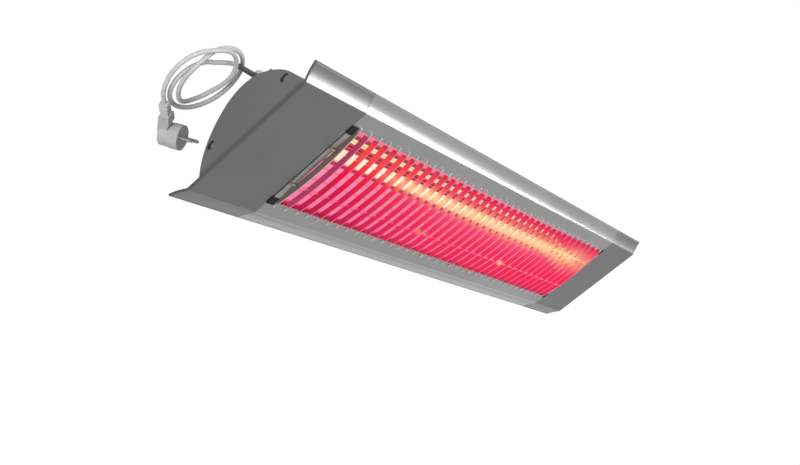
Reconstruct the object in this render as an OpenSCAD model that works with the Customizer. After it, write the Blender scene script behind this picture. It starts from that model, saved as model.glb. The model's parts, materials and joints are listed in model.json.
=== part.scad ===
// Wall or ceiling infrared heater, lying on its brackets with the radiant front up.
// X runs along the heater, Z out of the front, Z = 0 is the mounting surface.

/* [Head] */
// Overall length of the heater head
head_l = 1200; // [1000:10:1500]
// Overall width over the swept wings
head_w = 240; // [228:1:260]
// Flat front beyond the dome's edge, before each wing bends
flat_margin = 7; // [4:0.5:11]
// Depth of the domed back behind the front face
dome_h = 114; // [108:1:130]
// Half width of the dome where it meets the front plate
dome_half = 86; // [84:0.5:88]
// Radius of the dome's crown
crown_r = 55; // [50:1:62]
// Wall of the domed back
shell_t = 2.5; // [2:0.1:3.2]
// Thickness of the front plate and the wings
plate_t = 3; // [2.4:0.1:3.6]
// Radius of the bend from the flat front into a wing
wing_bend_r = 8; // [5:0.5:12]
// Slope of a wing next to its bend, in degrees
wing_slope_in = 32; // [26:1:36]
// Slope of a wing at its tip, in degrees
wing_slope_out = 18; // [12:1:22]
// Half width of the radiant opening
opening_half = 72; // [70:0.5:74]
// Gap between the mounting surface and the crown of the dome
standoff = 54; // [54:1:70]

/* [Mounting rail] */
// Half width of the rail along the crown
rail_half = 14; // [12:0.5:16]
// Height of the rail's section
rail_h = 10; // [9.5:0.1:12]
// Width of the rail's slot
slot_w = 6.6; // [6.4:0.1:7]
// Lip that the bolt heads pull against
slot_lip = 3; // [2.6:0.1:3.4]

/* [End caps] */
// Length of an end cap along the front
cap_l = 132; // [120:1:150]
// Lip of the front plate past the foot of the slanted cheek
cap_lip = 11; // [6:1:16]
// Slant of the cheek, in degrees
cheek_slant = 30; // [20:1:34]
// Wall of a cap's dome and cheek
cap_t = 3; // [2.4:0.1:3.6]
// Depth of the cap screws behind the front face
boss_depth = 56; // [50:1:62]
// Distance from the dome's outside to a screw's axis
boss_inset = 11; // [10.5:0.5:13]
// Diameter of a cap screw
cap_screw_d = 4.2; // [3.6:0.1:4.6]
// Diameter of the recess around a screw head
recess_d = 13; // [11:0.5:13.5]
// Depth of the recess
recess_depth = 9; // [8:0.5:12]
// Thickness of the flat gasket between a cap and the housing
gasket_t = 1; // [0.6:0.1:2]

/* [Grille] */
// Number of blades
blade_n = 37; // [25:1:45]
// Thickness of a blade
blade_t = 1.6; // [1:0.1:2.4]
// Depth of a blade, front edge to back edge
blade_d = 8; // [7:0.5:9]
// Height of a blade's front edge over the front face, at the middle
blade_rise = 8.5; // [7.5:0.5:11]
// Height of the front edge at a blade's tip
tip_rise = 3; // [2.5:0.1:4]
// Overlap of a blade's tip on the front plate
tip_overlap = 5; // [3:0.5:8]
// Distance from the opening's end to the first blade
blade_first = 17; // [16:0.5:24]
// Diameter of the rods that carry the blades
rod_d = 3; // [2.5:0.1:3.5]
// Distance of a rod from the middle
rod_y = 34; // [26:1:44]
// Width of the end rail under the rods
end_rail_w = 11; // [9:0.5:11.5]
// Thickness of the end rail
end_rail_t = 3; // [2:0.1:3.4]

/* [Reflector and lamp] */
// Depth of the reflector trough under its lip
refl_h = 82; // [76:1:86]
// Half width of the trough at its mouth
refl_half = 71; // [68:0.5:71.5]
// Facets on each side of the trough
refl_facets = 6; // [5:1:9]
// Sheet thickness of the reflector
refl_t = 0.8; // [0.5:0.1:1]
// Depth of the lamp's axis behind the front face
lamp_depth = 64; // [58:1:66]
// Outer diameter of the lamp tube
lamp_d = 18; // [14:0.5:19]
// Wall of the lamp tube
lamp_wall = 1.4; // [1:0.1:2]
// Diameter of the carbon filament rod
filament_d = 4; // [3:0.5:6]
// Spacing of the filament's supports
filament_step = 60; // [40:5:100]
// Length of a ceramic lamp base
base_l = 34; // [28:1:36]
// Diameter of the lead wires
wire_d = 3; // [2:0.1:3.6]

/* [Brackets] */
// Gap between the connection box and the left bracket's foot
bracket_clear = 2; // [1:1:60]
// Height of the tilt axis over the mounting surface
pivot_z = 34; // [34:0.5:36]
// Length of a bracket's base plate along the heater
foot_l = 80; // [76:1:100]
// Width of a bracket's base plate
foot_w = 64; // [60:1:80]
// Thickness of the bracket's steel
steel_t = 3; // [2.5:0.1:3.2]
// Spacing of the wall holes along the heater
hole_sx = 62; // [60:1:64]
// Spacing of the wall holes across the heater
hole_sy = 40; // [36:1:44]
// Diameter of the wall holes
hole_d = 6.4; // [5:0.1:7]
// Inside width between a bracket's ears
ear_gap = 40; // [40:0.5:44]
// Outside width over the saddle's ears
saddle_l = 38; // [37:0.1:38.4]
// Diameter of the tilt bolts
pivot_d = 8; // [6:0.1:8.4]
// Radial clearance of the tilt bolts in the saddle
pivot_play = 0.06; // [0.03:0.01:0.09]
// Diameter of the rail bolts
rail_bolt_d = 6; // [5:0.1:6.2]

/* [Terminal box] */
// Distance of the connection box from the left end cap
box_inset = 26; // [20:1:60]
// Length of the box
box_l = 100; // [96:1:120]
// Half width of the box at the dome
box_half = 30; // [28:0.5:34]
// Half width of the box at its lid
lid_half = 14; // [13:0.5:14.5]
// Wall of the box
box_t = 2.5; // [2:0.1:2.8]
// Clearance between the lid and the mounting surface
lid_gap = 4; // [4:0.5:6]
// Height of the gland's axis over the mounting surface
gland_z = 16; // [16:0.5:18]
// Diameter over the gland's dome nut
gland_d = 19; // [16:0.5:19]
// Length of the gland's dome nut
gland_nut_l = 19; // [14:1:24]

/* [Cord and plug] */
// Diameter of the supply cord
cord_d = 6.2; // [5.8:0.1:6.8]
// Diameter of the plug's face
plug_d = 34; // [34:0.5:37]
// Length of the plug's neck from the pins' axis to the cord
neck_l = 54; // [48:1:60]
// Length of the ribbed strain relief
boot_l = 18; // [14:1:22]
// Angle between the neck and the line of the pins, in degrees
pin_turn = 45; // [0:5:90]

/* [Hidden] */
$fn = 64;

big = 2000;
fit = 0.1;
front_z = standoff + dome_h;
head_end = head_l / 2;
open_end = head_end - cap_l;
housing_end = open_end - gasket_t;

// The dome's outline has three tangent arcs: two sides and the crown.
side_r = (pow(dome_half, 2) + pow(dome_h - crown_r, 2) - pow(crown_r, 2)) / (2 * (dome_half - crown_r));
side_off = side_r - dome_half;
crown_z = front_z - (dome_h - crown_r);
tangent_z = front_z - side_r * (dome_h - crown_r) / (side_r - crown_r);
// Half width of the dome at a depth behind the front, inside a wall of the given thickness
function dome_y(depth, inset = 0) = sqrt(pow(side_r - inset, 2) - pow(depth, 2)) - side_off;
// Height of the crown's surface at a distance from the middle
function crown_surface_z(y, inset = 0) = crown_z - sqrt(pow(crown_r - inset, 2) - pow(y, 2));

// Half width of the flat front between the wings
flat_half = dome_half + flat_margin;
// A wing is a short convex bend, then a long hollow arc to its round tip.
wing_y1 = flat_half + wing_bend_r * sin(wing_slope_in);
wing_z1 = front_z - wing_bend_r * (1 - cos(wing_slope_in));
tip_r = plate_t / 2;
wing_r = (head_w / 2 - tip_r + tip_r * sin(wing_slope_out) - wing_y1)
    / (sin(wing_slope_in) - sin(wing_slope_out));
wing_cy = wing_y1 + wing_r * sin(wing_slope_in);
wing_cz = wing_z1 + wing_r * cos(wing_slope_in);

// The cheek's plane starts at the lip, on the front face, and slants inwards.
cheek_x = -head_end + cap_lip;
boss_y = dome_y(boss_depth) - boss_inset;
boss_z = front_z - boss_depth;
recess_wall = 2;
recess_floor = cheek_x + tan(cheek_slant) * boss_depth + recess_depth;
channel_wall = 3.2;
cap_screw_hold = 16;
screw_head_h = 2.8;

blade_half = opening_half + tip_overlap;
blade_r = (pow(blade_half, 2) + pow(blade_rise - tip_rise, 2)) / (2 * (blade_rise - tip_rise));
blade_x0 = -open_end + blade_first;
blade_step = -2 * blade_x0 / (blade_n - 1);
tip_gap = 0.3;
tip_shoulder = 2.5;
rod_z = front_z + blade_rise - blade_d / 2 - (blade_r - sqrt(pow(blade_r, 2) - pow(rod_y, 2)));
end_rail_top = rod_z - rod_d / 2;
end_rail_x = -open_end + 1;
clip_y = opening_half - 10;
clip_l = end_rail_w + 2.6;
clip_x = -open_end + 0.2;
clip_t = 1.6;

refl_z = front_z - plate_t;
refl_end = open_end - clip_l - 1.2;
refl_lip = dome_y(plate_t, shell_t) - refl_half - 1.5;
refl_pts = [for (i = [-refl_facets:refl_facets])
    [refl_half * i / refl_facets, refl_z - refl_h * (1 - pow(i / refl_facets, 2))]];
end_plate_t = 1;
strip_gap = 0.3;

lamp_z = front_z - lamp_depth;
lamp_r = lamp_d / 2;
base_r = lamp_r + 2;
base_x = refl_end + end_plate_t + 3;
base_seat = 8;
tube_end = base_x + base_seat;
contact_l = 4;
contact_r = 3;
socket_l = 22;
socket_x = base_x + base_l - 4;
shelf_t = 1.2;
shelf_drop = lamp_r + 4;
wire_y = 30;
wire_z = crown_surface_z(wire_y, shell_t) + wire_d / 2 + 3;
wire_drop_y = 21;
wire_bend = 2.6;
wire_x = -head_end + cap_l + box_inset + box_l / 2;

slot_cavity_w = 10.6;
slot_cavity_h = 4.6;
bolt_head_w = 10;
bolt_head_h = 4;
saddle_bolt_x = 7.4;
saddle_ear_r = 11;
bracket_ear_r = 12;
nut_h = 0.8 * pivot_d;
washer_t = 0.2 * pivot_d;
pivot_head_h = 0.6625 * pivot_d;
pivot_flats = 1.625 * pivot_d;

box_x0 = -head_end + cap_l + box_inset;
box_x1 = box_x0 + box_l;
bracket_x = -box_x1 - bracket_clear - foot_l / 2;
lid_t = 2.5;
lid_top = lid_gap + lid_t;
box_shoulder = standoff - 10;
box_top_t = 2.5;
rib_w = 7;
rib_h = 7;
rib_x = [box_x0 + 20, box_x1 - 9];
block_x0 = box_x0 + 27;
block_l = box_l - 43;
block_h = 17;
block_half = 8;
box_bolt_x = [box_x0 + 12, box_x1 - 9];
hex_l = 6;
gland_thread_r = 7.8;
gland_x0 = box_x0 - hex_l - gland_nut_l;
cord_r = cord_d / 2;
supply_end_x = box_x0 + 14;

function unit(v) = v / norm(v);

// Sweep a round section along a path, its first and last faces square to the given directions.
// The section is carried from ring to ring without twist.
module tube(path, r, sides, start_dir, end_dir) {
    n = len(path);
    dirs = [for (i = [0:n - 1])
        i == 0 ? start_dir : i == n - 1 ? end_dir
            : unit(unit(path[i + 1] - path[i]) + unit(path[i] - path[i - 1]))];
    first = abs(start_dir[2]) > 0.9 ? [0, 1, 0] : unit(cross([0, 0, 1], start_dir));
    across = [for (i = 0, s = first; i < n;
        s = let (d = dirs[min(i + 1, n - 1)]) unit(s - (s * d) * d), i = i + 1) s];
    rings = [for (i = [0:n - 1], k = [0:sides - 1])
        let (a = 360 * (k + 0.5) / sides)
        path[i] + r * (cos(a) * across[i] + sin(a) * cross(dirs[i], across[i]))];
    faces = concat(
        [for (i = [0:n - 2], k = [0:sides - 1]) let (
            a = i * sides + k,
            b = i * sides + (k + 1) % sides
        ) each [[a, b, a + sides], [b, b + sides, a + sides]]],
        [for (k = [1:sides - 2]) [0, k + 1, k]],
        [for (k = [1:sides - 2]) let (e = (n - 1) * sides) [e, e + k, e + k + 1]]);
    polyhedron(points = rings, faces = faces, convexity = 10);
}

// Extrude a profile drawn in (Y, Z) along X
module along_x(x0, l) {
    translate([x0, 0, 0]) rotate([90, 0, 90]) linear_extrude(l) children();
}

// Cylinder along X
module rod_x(x0, l, r, y = 0, z = 0, sides = 64) {
    translate([x0, y, z]) rotate([0, 90, 0]) cylinder(h = l, r = r, $fn = sides);
}

// Hexagon prism along X, by its width across flats, with a flat below
module hex_x(x0, l, width, y = 0, z = 0) {
    translate([x0, y, z]) rotate([0, 90, 0]) rotate([0, 0, 30])
        cylinder(h = l, r = width / 2 / cos(30), $fn = 6);
}

module both_ends() {
    children();
    mirror([1, 0, 0]) children();
}

module both_sides() {
    children();
    mirror([0, 1, 0]) children();
}

// The dome's outline, drawn in by a wall
module dome2d(inset = 0) {
    intersection() {
        union() {
            intersection() {
                translate([-side_off, front_z]) circle(side_r - inset, $fn = 180);
                translate([side_off, front_z]) circle(side_r - inset, $fn = 180);
                translate([-dome_half, tangent_z + inset * (front_z - tangent_z) / side_r])
                    square([2 * dome_half, dome_h]);
            }
            translate([0, crown_z]) circle(crown_r - inset, $fn = 120);
        }
        translate([-dome_half, standoff]) square([2 * dome_half, dome_h - plate_t / 2]);
    }
}

// Points along an arc, without its first point when another arc ends there
function arc(c, r, a0, a1, n, first = 0) = [
    for (i = [first:n]) let (a = a0 + (a1 - a0) * i / n) c + r * [cos(a), sin(a)]];

// Half of the front plate's outline: along the front, round the wing's tip and back behind it
bend_c = [flat_half, front_z - wing_bend_r];
wing_c = [wing_cy, wing_cz];
wing_edge = concat(
    arc(bend_c, wing_bend_r, 90, 90 - wing_slope_in, 6),
    arc(wing_c, wing_r, 270 - wing_slope_in, 270 - wing_slope_out, 12, 1),
    arc(wing_c - (wing_r + tip_r) * [sin(wing_slope_out), cos(wing_slope_out)], tip_r,
        90 - wing_slope_out, -90 - wing_slope_out, 8, 1),
    arc(wing_c, wing_r + plate_t, 270 - wing_slope_out, 270 - wing_slope_in, 12, 1),
    arc(bend_c, wing_bend_r - plate_t, 90 - wing_slope_in, 90, 6, 1));

// Front plate with its swept wings
module plate2d() {
    n = len(wing_edge);
    polygon(concat(wing_edge, [for (i = [n - 1:-1:0]) [-wing_edge[i][0], wing_edge[i][1]]]));
}

// Screw channel beside the dome's wall, with its web
module channel2d() {
    for (s = [-1, 1]) {
        translate([s * boss_y, boss_z]) circle(cap_screw_d / 2 + channel_wall);
        intersection() {
            dome2d(shell_t / 2);
            translate([s > 0 ? boss_y : -boss_y - boss_inset, boss_z - 1.5]) square([boss_inset, 3]);
        }
    }
}

// Front plate, dome wall and screw channels, as an extrusion
module section(x0, l) {
    along_x(x0, l) plate2d();
    difference() {
        along_x(x0, l) dome2d();
        along_x(x0 - 1, l + 2) dome2d(shell_t);
    }
    along_x(x0, l) channel2d();
}

// What the radiant opening takes out of the front plate
module radiant_cut(x0, l) {
    translate([x0, -opening_half, front_z - 2 * plate_t]) cube([l, 2 * opening_half, 3 * plate_t]);
}

module housing() {
    l = 2 * housing_end;
    color("#A2A6A3") difference() {
        union() {
            section(-housing_end, l);
            translate([-housing_end, -rail_half, standoff]) cube([l, 2 * rail_half, rail_h]);
        }
        radiant_cut(-housing_end - 1, l + 2);
        translate([-housing_end - 1, -slot_w / 2, standoff - 1]) cube([l + 2, slot_w, slot_lip + 2]);
        translate([-housing_end - 1, -slot_cavity_w / 2, standoff + slot_lip])
            cube([l + 2, slot_cavity_w, slot_cavity_h]);
        for (s = [-1, 1])
            rod_x(-housing_end - 1, l + 2, cap_screw_d / 2 + fit / 2, s * boss_y, boss_z);
        for (s = [-1, 1]) translate([wire_x, s * wire_drop_y, standoff - 1])
            cylinder(h = 20, r = wire_d / 2 + 2.5);
    }
}

// Everything outside the cheek's plane, drawn inwards by a wall
module outside_cheek(inset = 0) {
    translate([cheek_x + inset / cos(cheek_slant), 0, front_z]) rotate([0, -cheek_slant, 0])
        translate([-big, -big / 2, -big / 2]) cube([big, big, big]);
}

module cap_hollow() {
    difference() {
        intersection() {
            along_x(-head_end, cap_l + 1) dome2d(cap_t);
            translate([-head_end, -big / 2, 0]) cube([big, big, front_z - plate_t]);
        }
        outside_cheek(cap_t);
    }
}

module end_cap() {
    color("#737373") difference() {
        union() {
            along_x(-head_end, cap_l) plate2d();
            difference() {
                along_x(-head_end, cap_l) dome2d();
                outside_cheek();
                cap_hollow();
            }
            difference() {
                intersection() {
                    for (s = [-1, 1])
                        rod_x(-head_end, cap_l, recess_d / 2 + recess_wall, s * boss_y, boss_z);
                    along_x(-head_end, cap_l) dome2d();
                }
                outside_cheek();
            }
        }
        for (s = [-1, 1]) {
            rod_x(-head_end - 1, recess_floor + head_end + 1, recess_d / 2, s * boss_y, boss_z);
            rod_x(-head_end, cap_l + 1, cap_screw_d / 2 + fit, s * boss_y, boss_z);
        }
    }
}

// Flat ring with the section of the housing's walls
module end_gasket() {
    color("#1D1D1D") difference() {
        section(-open_end, gasket_t);
        radiant_cut(-open_end - 1, gasket_t + 2);
        for (s = [-1, 1]) rod_x(-open_end - 1, gasket_t + 2, cap_screw_d / 2 + fit, s * boss_y, boss_z);
    }
}

module cap_screws() {
    color("#3A3A3A") for (s = [-1, 1]) difference() {
        union() {
            rod_x(recess_floor, -open_end - recess_floor + cap_screw_hold, cap_screw_d / 2,
                s * boss_y, boss_z);
            rod_x(recess_floor - screw_head_h, screw_head_h, cap_screw_d, s * boss_y, boss_z);
        }
        translate([recess_floor - screw_head_h - 1, s * boss_y, boss_z]) for (a = [0, 90])
            rotate([a, 0, 0]) translate([0, -cap_screw_d * 0.6, -0.5]) cube([2.4, cap_screw_d * 1.2, 1]);
    }
}

// A sheet's other face: each point moved out by the sheet's thickness along its mitre
function mitre(p, i, t) =
    let (
        a = p[max(i - 1, 0)],
        b = p[min(i + 1, len(p) - 1)],
        d1 = i == 0 ? b - p[0] : p[i] - a,
        d2 = i == len(p) - 1 ? p[i] - a : b - p[i],
        n1 = [d1[1], -d1[0]] / norm(d1),
        n2 = [d2[1], -d2[0]] / norm(d2)
    ) p[i] + t * (n1 + n2) / (1 + n1 * n2);

// The trough is twelve polished strips side by side, with a hairline gap at each fold.
// The end plates hold them.
module reflector() {
    n = len(refl_pts) - 1;
    color("#D9D4CF") {
        for (i = [0:n - 1]) {
            along = unit(refl_pts[i + 1] - refl_pts[i]);
            from = i == 0 ? 0 : strip_gap / 2;
            to = i == n - 1 ? 0 : strip_gap / 2;
            union() {
                along_x(-refl_end, 2 * refl_end) polygon([
                    refl_pts[i] + from * along, refl_pts[i + 1] - to * along,
                    mitre(refl_pts, i + 1, refl_t) - to * along, mitre(refl_pts, i, refl_t) + from * along]);
                if (i == 0) translate([-refl_end, -refl_half - refl_lip, refl_z - refl_t])
                    cube([2 * refl_end, refl_lip, refl_t]);
                if (i == n - 1) translate([-refl_end, refl_half, refl_z - refl_t])
                    cube([2 * refl_end, refl_lip, refl_t]);
            }
        }
    }
}

module reflector_end() {
    tab_y = rod_y + 14;
    color("#B9B5B0") difference() {
        union() {
            along_x(-refl_end - end_plate_t, end_plate_t) union() {
                polygon(refl_pts);
                translate([-tab_y, refl_z - refl_t])
                    square([2 * tab_y, end_rail_top - end_rail_t - refl_z + refl_t]);
            }
            translate([end_rail_x, -tab_y, end_rail_top - end_rail_t - end_plate_t])
                cube([-refl_end - end_rail_x, 2 * tab_y, end_plate_t]);
        }
        rod_x(-refl_end - 5, 10, base_r + 1, 0, lamp_z);
    }
}

// One blade: a bowed strip whose tips lie on the front plate
module blade2d() {
    difference() {
        intersection() {
            translate([0, front_z + blade_rise - blade_r]) difference() {
                circle(blade_r, $fn = 360);
                circle(blade_r - blade_d, $fn = 360);
            }
            translate([-blade_half, front_z - blade_d]) square([2 * blade_half, 3 * blade_d]);
        }
        for (s = [0, 1]) mirror([s, 0])
            translate([opening_half - tip_shoulder, front_z - 2 * blade_d])
                square([blade_half, 2 * blade_d + tip_gap]);
        for (s = [-1, 1]) translate([s * rod_y, rod_z]) circle(rod_d / 2 + fit);
    }
}

module grille_blades() {
    color("#D8365C") for (i = [0:blade_n - 1])
        along_x(blade_x0 + i * blade_step - blade_t / 2, blade_t) blade2d();
}

module grille_rods() {
    color("#C9C4BE") for (s = [-1, 1])
        rod_x(end_rail_x, -2 * end_rail_x, rod_d / 2, s * rod_y, rod_z, 24);
}

module grille_rail() {
    color("#B9B5B0") translate([end_rail_x, -clip_y + 0.5, end_rail_top - end_rail_t])
        cube([end_rail_w, 2 * clip_y - 1, end_rail_t]);
}

// Corner clip: it holds the rail's end and grips the edge of the front plate
module grille_clips() {
    grip = 3;
    color("#161616") both_ends() both_sides() along_x(clip_x, clip_l) difference() {
        translate([clip_y, front_z - plate_t - clip_t - 0.6])
            square([opening_half + grip - clip_y, plate_t + 2 * clip_t + 0.7]);
        translate([opening_half - fit, front_z - plate_t - fit]) square([grip + 1, plate_t + 2 * fit]);
        translate([opening_half - fit, front_z - 3 * plate_t]) square([grip + 1, 2 * plate_t + fit]);
    }
}

module lamp_tube() {
    color("#8E1526") difference() {
        rod_x(-tube_end, 2 * tube_end, lamp_r, 0, lamp_z);
        rod_x(-tube_end - 1, 2 * tube_end + 2, lamp_r - lamp_wall, 0, lamp_z);
    }
}

module lamp_filament() {
    count = floor((tube_end - 20) / filament_step);
    color("#FFC27A") {
        rod_x(-tube_end, 2 * tube_end, filament_d / 2, 0, lamp_z, 24);
        for (i = [-count:count])
            rod_x(i * filament_step - 0.5, 1, lamp_r - lamp_wall - fit, 0, lamp_z, 24);
    }
}

module lamp_base() {
    color("#E4E0D8") difference() {
        union() {
            rod_x(-base_x - base_l, base_l, base_r, 0, lamp_z);
            rod_x(-base_x - base_l - contact_l, contact_l, contact_r, 0, lamp_z);
        }
        rod_x(-base_x - base_seat, base_seat + 1, lamp_r + fit / 2, 0, lamp_z);
    }
}

module lamp_socket() {
    half = base_r + 2.5;
    drop = shelf_drop - shelf_t;
    color("#DDD8CE") difference() {
        translate([-socket_x - socket_l, -half, lamp_z - drop]) cube([socket_l, 2 * half, drop + half]);
        rod_x(-base_x - base_l - fit, base_l, base_r + fit, 0, lamp_z);
        rod_x(-base_x - base_l - contact_l - fit, base_l, contact_r + fit, 0, lamp_z);
    }
}

module socket_shelf() {
    half = base_r + 2.5;
    z0 = lamp_z - shelf_drop;
    color("#B4B4B4") difference() {
        union() {
            translate([-socket_x - socket_l - 3, -half, z0])
                cube([socket_x + socket_l + 3 - refl_end - end_plate_t, 2 * half, shelf_t]);
            translate([-refl_end - end_plate_t - shelf_t, -half, z0]) cube([shelf_t, 2 * half, 2 * half]);
        }
        rod_x(-refl_end - 20, 30, base_r + fit, 0, lamp_z);
    }
}

// Points with each inner corner rounded by a short curve
function rounded(p, bend) = [
    p[0],
    for (i = [1:len(p) - 2])
        let (u = unit(p[i] - p[i - 1]), v = unit(p[i + 1] - p[i]))
        each [p[i] - bend * u, p[i] - bend * 0.2 * (u - v), p[i] + bend * v],
    p[len(p) - 1]];

// From the socket's outer face, round it, and along the crown to the box
function lead_points(end, side) =
    let (out_x = end * (socket_x + socket_l), bend_x = out_x + end * 6, low_z = lamp_z - shelf_drop - 4)
    [
        [out_x, 0, lamp_z], [bend_x, 0, lamp_z], [bend_x, side * (base_r + 6), lamp_z - 6],
        [bend_x, side * wire_y, wire_z], [wire_x, side * wire_y, wire_z],
        [wire_x, side * wire_drop_y, wire_z - 2], [wire_x, side * wire_drop_y, standoff - 9],
        [wire_x, side * block_half * 0.5, lid_top + block_h]
    ];

module lead_wire_left() {
    color("#D8D2C8") tube(rounded(lead_points(-1, -1), wire_bend), wire_d / 2, 8, [-1, 0, 0], [0, 0, -1]);
}

module lead_wire_right() {
    color("#D8D2C8") tube(rounded(lead_points(1, 1), wire_bend), wire_d / 2, 8, [1, 0, 0], [0, 0, -1]);
}

module wire_grommets() {
    hole_r = wire_d / 2 + 2.5;
    top = crown_surface_z(wire_drop_y + hole_r, shell_t) - 1;
    color("#222222") for (s = [-1, 1]) translate([wire_x, s * wire_drop_y, standoff - box_top_t - 1.6])
        difference() {
            union() {
                translate([0, 0, 1.6]) cylinder(h = top - standoff + box_top_t, r = hole_r - fit);
                cylinder(h = 1.5, r = hole_r + 1.2);
            }
            translate([0, 0, -1]) cylinder(h = 40, r = wire_d / 2 + 0.6);
        }
}

// Section of the box, drawn in by its wall
module box2d(inset = 0) {
    polygon([
        for (s = [1, -1]) each s > 0
            ? [[lid_half - inset, lid_top], [box_half - inset, box_shoulder],
                [box_half - inset, standoff + 20]]
            : [[-box_half + inset, standoff + 20], [-box_half + inset, box_shoulder],
                [-lid_half + inset, lid_top]]
    ]);
}

module terminal_box() {
    hole_r = wire_d / 2 + 2.5;
    color("#2B2B2B") difference() {
        union() {
            difference() {
                along_x(box_x0, box_l) box2d();
                intersection() {
                    along_x(box_x0 + box_t, box_l - 2 * box_t) box2d(box_t);
                    translate([box_x0, -big / 2, 0]) cube([box_l, big, standoff - box_top_t]);
                }
            }
            for (x = rib_x) intersection() {
                along_x(x - rib_w / 2, rib_w) box2d();
                translate([x - rib_w, -big / 2, lid_top]) cube([2 * rib_w, big, rib_h]);
            }
        }
        along_x(box_x0 - 1, box_l + 2) dome2d();
        along_x(box_x0 - 1, box_l + 2) translate([-rail_half - fit, standoff])
            square([2 * rail_half + 2 * fit, rail_h]);
        rod_x(box_x0 - 1, box_t + 2, gland_thread_r + fit, 0, gland_z);
        for (x = rib_x) translate([x, 0, lid_top - 1]) cylinder(h = rib_h + 2, r = 1.3);
        for (s = [-1, 1]) translate([wire_x, s * wire_drop_y, standoff - 10]) cylinder(h = 30, r = hole_r);
        for (x = box_bolt_x) translate([x, 0, standoff - 10]) cylinder(h = 20, r = 2.6);
    }
}

module terminal_lid() {
    color("#2B2B2B") difference() {
        along_x(box_x0, box_l) polygon([
            [-lid_half, lid_top], [lid_half, lid_top], [lid_half - 1, lid_gap], [-lid_half + 1, lid_gap]]);
        for (x = rib_x) translate([x, 0, lid_gap - 1]) {
            cylinder(h = lid_t + 2, r = 1.6);
            cylinder(h = 2.4, r = 3);
        }
    }
}

module lid_screws() {
    color("#9A9A9A") for (x = rib_x) translate([x, 0, lid_gap]) {
        translate([0, 0, 0.2]) cylinder(h = 1.2, r = 2.8);
        cylinder(h = lid_t + rib_h - 1, r = 1.25);
    }
}

module terminal_block() {
    color("#E9E6DF") difference() {
        translate([block_x0, -block_half, lid_top]) cube([block_l, 2 * block_half, block_h]);
        for (i = [0:2], s = [-1, 1])
            translate([block_x0 + block_l * (i + 0.5) / 3, s * block_half * 0.5, lid_top + block_h - 6])
                translate([s > 0 == (i == 1) ? 5 : -5, 0, 0]) cylinder(h = 7, r = 2);
    }
}

module terminal_screws() {
    color("#B59A55") for (i = [0:2], s = [-1, 1])
        translate([block_x0 + block_l * (i + 0.5) / 3, s * block_half * 0.5, lid_top + block_h - 6])
            translate([s > 0 == (i == 1) ? 5 : -5, 0, 0]) difference() {
                cylinder(h = 4.5, r = 1.9);
                translate([-2, -0.3, 3.8]) cube([4, 0.6, 1]);
            }
}

// Hexagon-headed bolts whose heads slide in the rail
module rail_bolt(x, l) {
    translate([x, 0, 0]) {
        translate([0, 0, standoff + slot_lip])
            cylinder(h = bolt_head_h, r = bolt_head_w / 2 / cos(30), $fn = 6);
        translate([0, 0, standoff + slot_lip - l]) cylinder(h = l, r = 2.5);
    }
}

module box_bolts() {
    color("#9A9A9A") for (x = box_bolt_x) difference() {
        union() {
            rail_bolt(x, slot_lip + box_top_t + 6);
            translate([x, 0, standoff - box_top_t - 4.2]) cylinder(h = 4.2, r = 4.6, $fn = 6);
        }
    }
}

module gland_body() {
    color("#1B1B1B") difference() {
        union() {
            hex_x(box_x0 - hex_l, hex_l, gland_d, 0, gland_z);
            rod_x(box_x0 - hex_l, hex_l + box_t + 7, gland_thread_r, 0, gland_z);
            rod_x(box_x0 - hex_l - 8, 8.5, gland_thread_r - 0.4, 0, gland_z);
        }
        rod_x(box_x0 - 30, 60, cord_r + fit, 0, gland_z);
        rod_x(box_x0 - hex_l - 9, 7, cord_r + 2.6, 0, gland_z);
    }
}

module gland_locknut() {
    color("#1B1B1B") difference() {
        hex_x(box_x0 + box_t, 4.5, gland_d - 0.6, 0, gland_z);
        rod_x(box_x0, 20, gland_thread_r + fit / 2, 0, gland_z);
    }
}

module gland_seal() {
    color("#303030") difference() {
        rod_x(box_x0 - hex_l - 8, 6, cord_r + 2.5, 0, gland_z);
        rod_x(box_x0 - 30, 60, cord_r + fit, 0, gland_z);
    }
}

// Dome nut with a rounded nose and grip flats
module gland_nut() {
    nose = gland_nut_l - 9;
    color("#141414") difference() {
        union() {
            hex_x(box_x0 - hex_l - 9, 8.8, gland_d - 0.4, 0, gland_z);
            intersection() {
                rod_x(gland_x0, nose, gland_d / 2 - 0.2, 0, gland_z);
                translate([gland_x0 + nose, 0, gland_z]) sphere(norm([nose, cord_r + 2.2]));
            }
        }
        rod_x(box_x0 - hex_l - 8, 10, gland_thread_r - 0.4 + fit / 2, 0, gland_z);
        rod_x(gland_x0 - 1, 40, cord_r + fit, 0, gland_z);
    }
}

// The end of the supply cord inside the gland, with its stripped cores
module supply_end() {
    color("#D6D6D6") {
        rod_x(gland_x0, supply_end_x - gland_x0, cord_r, 0, gland_z, 32);
        for (s = [-1, 0, 1])
            rod_x(supply_end_x, block_x0 - supply_end_x, 0.9, s * 2, gland_z, 16);
    }
}

module saddle(x) {
    ear_w = 2 * saddle_ear_r;
    color("#8C8F8E") translate([x, 0, 0]) difference() {
        union() {
            translate([-saddle_l / 2, -rail_half - 1, standoff - steel_t])
                cube([saddle_l, 2 * rail_half + 2, steel_t]);
            for (s = [0, 1]) mirror([s, 0, 0]) along_x(saddle_l / 2 - steel_t, steel_t) union() {
                translate([0, pivot_z]) circle(saddle_ear_r);
                translate([-saddle_ear_r, pivot_z]) square([ear_w, standoff - pivot_z]);
            }
        }
        rod_x(-saddle_l, 2 * saddle_l, pivot_d / 2 + pivot_play, 0, pivot_z);
        for (s = [-1, 1]) translate([s * saddle_bolt_x, 0, standoff - steel_t - 1])
            cylinder(h = steel_t + 2, r = rail_bolt_d / 2 + fit);
    }
}

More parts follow.
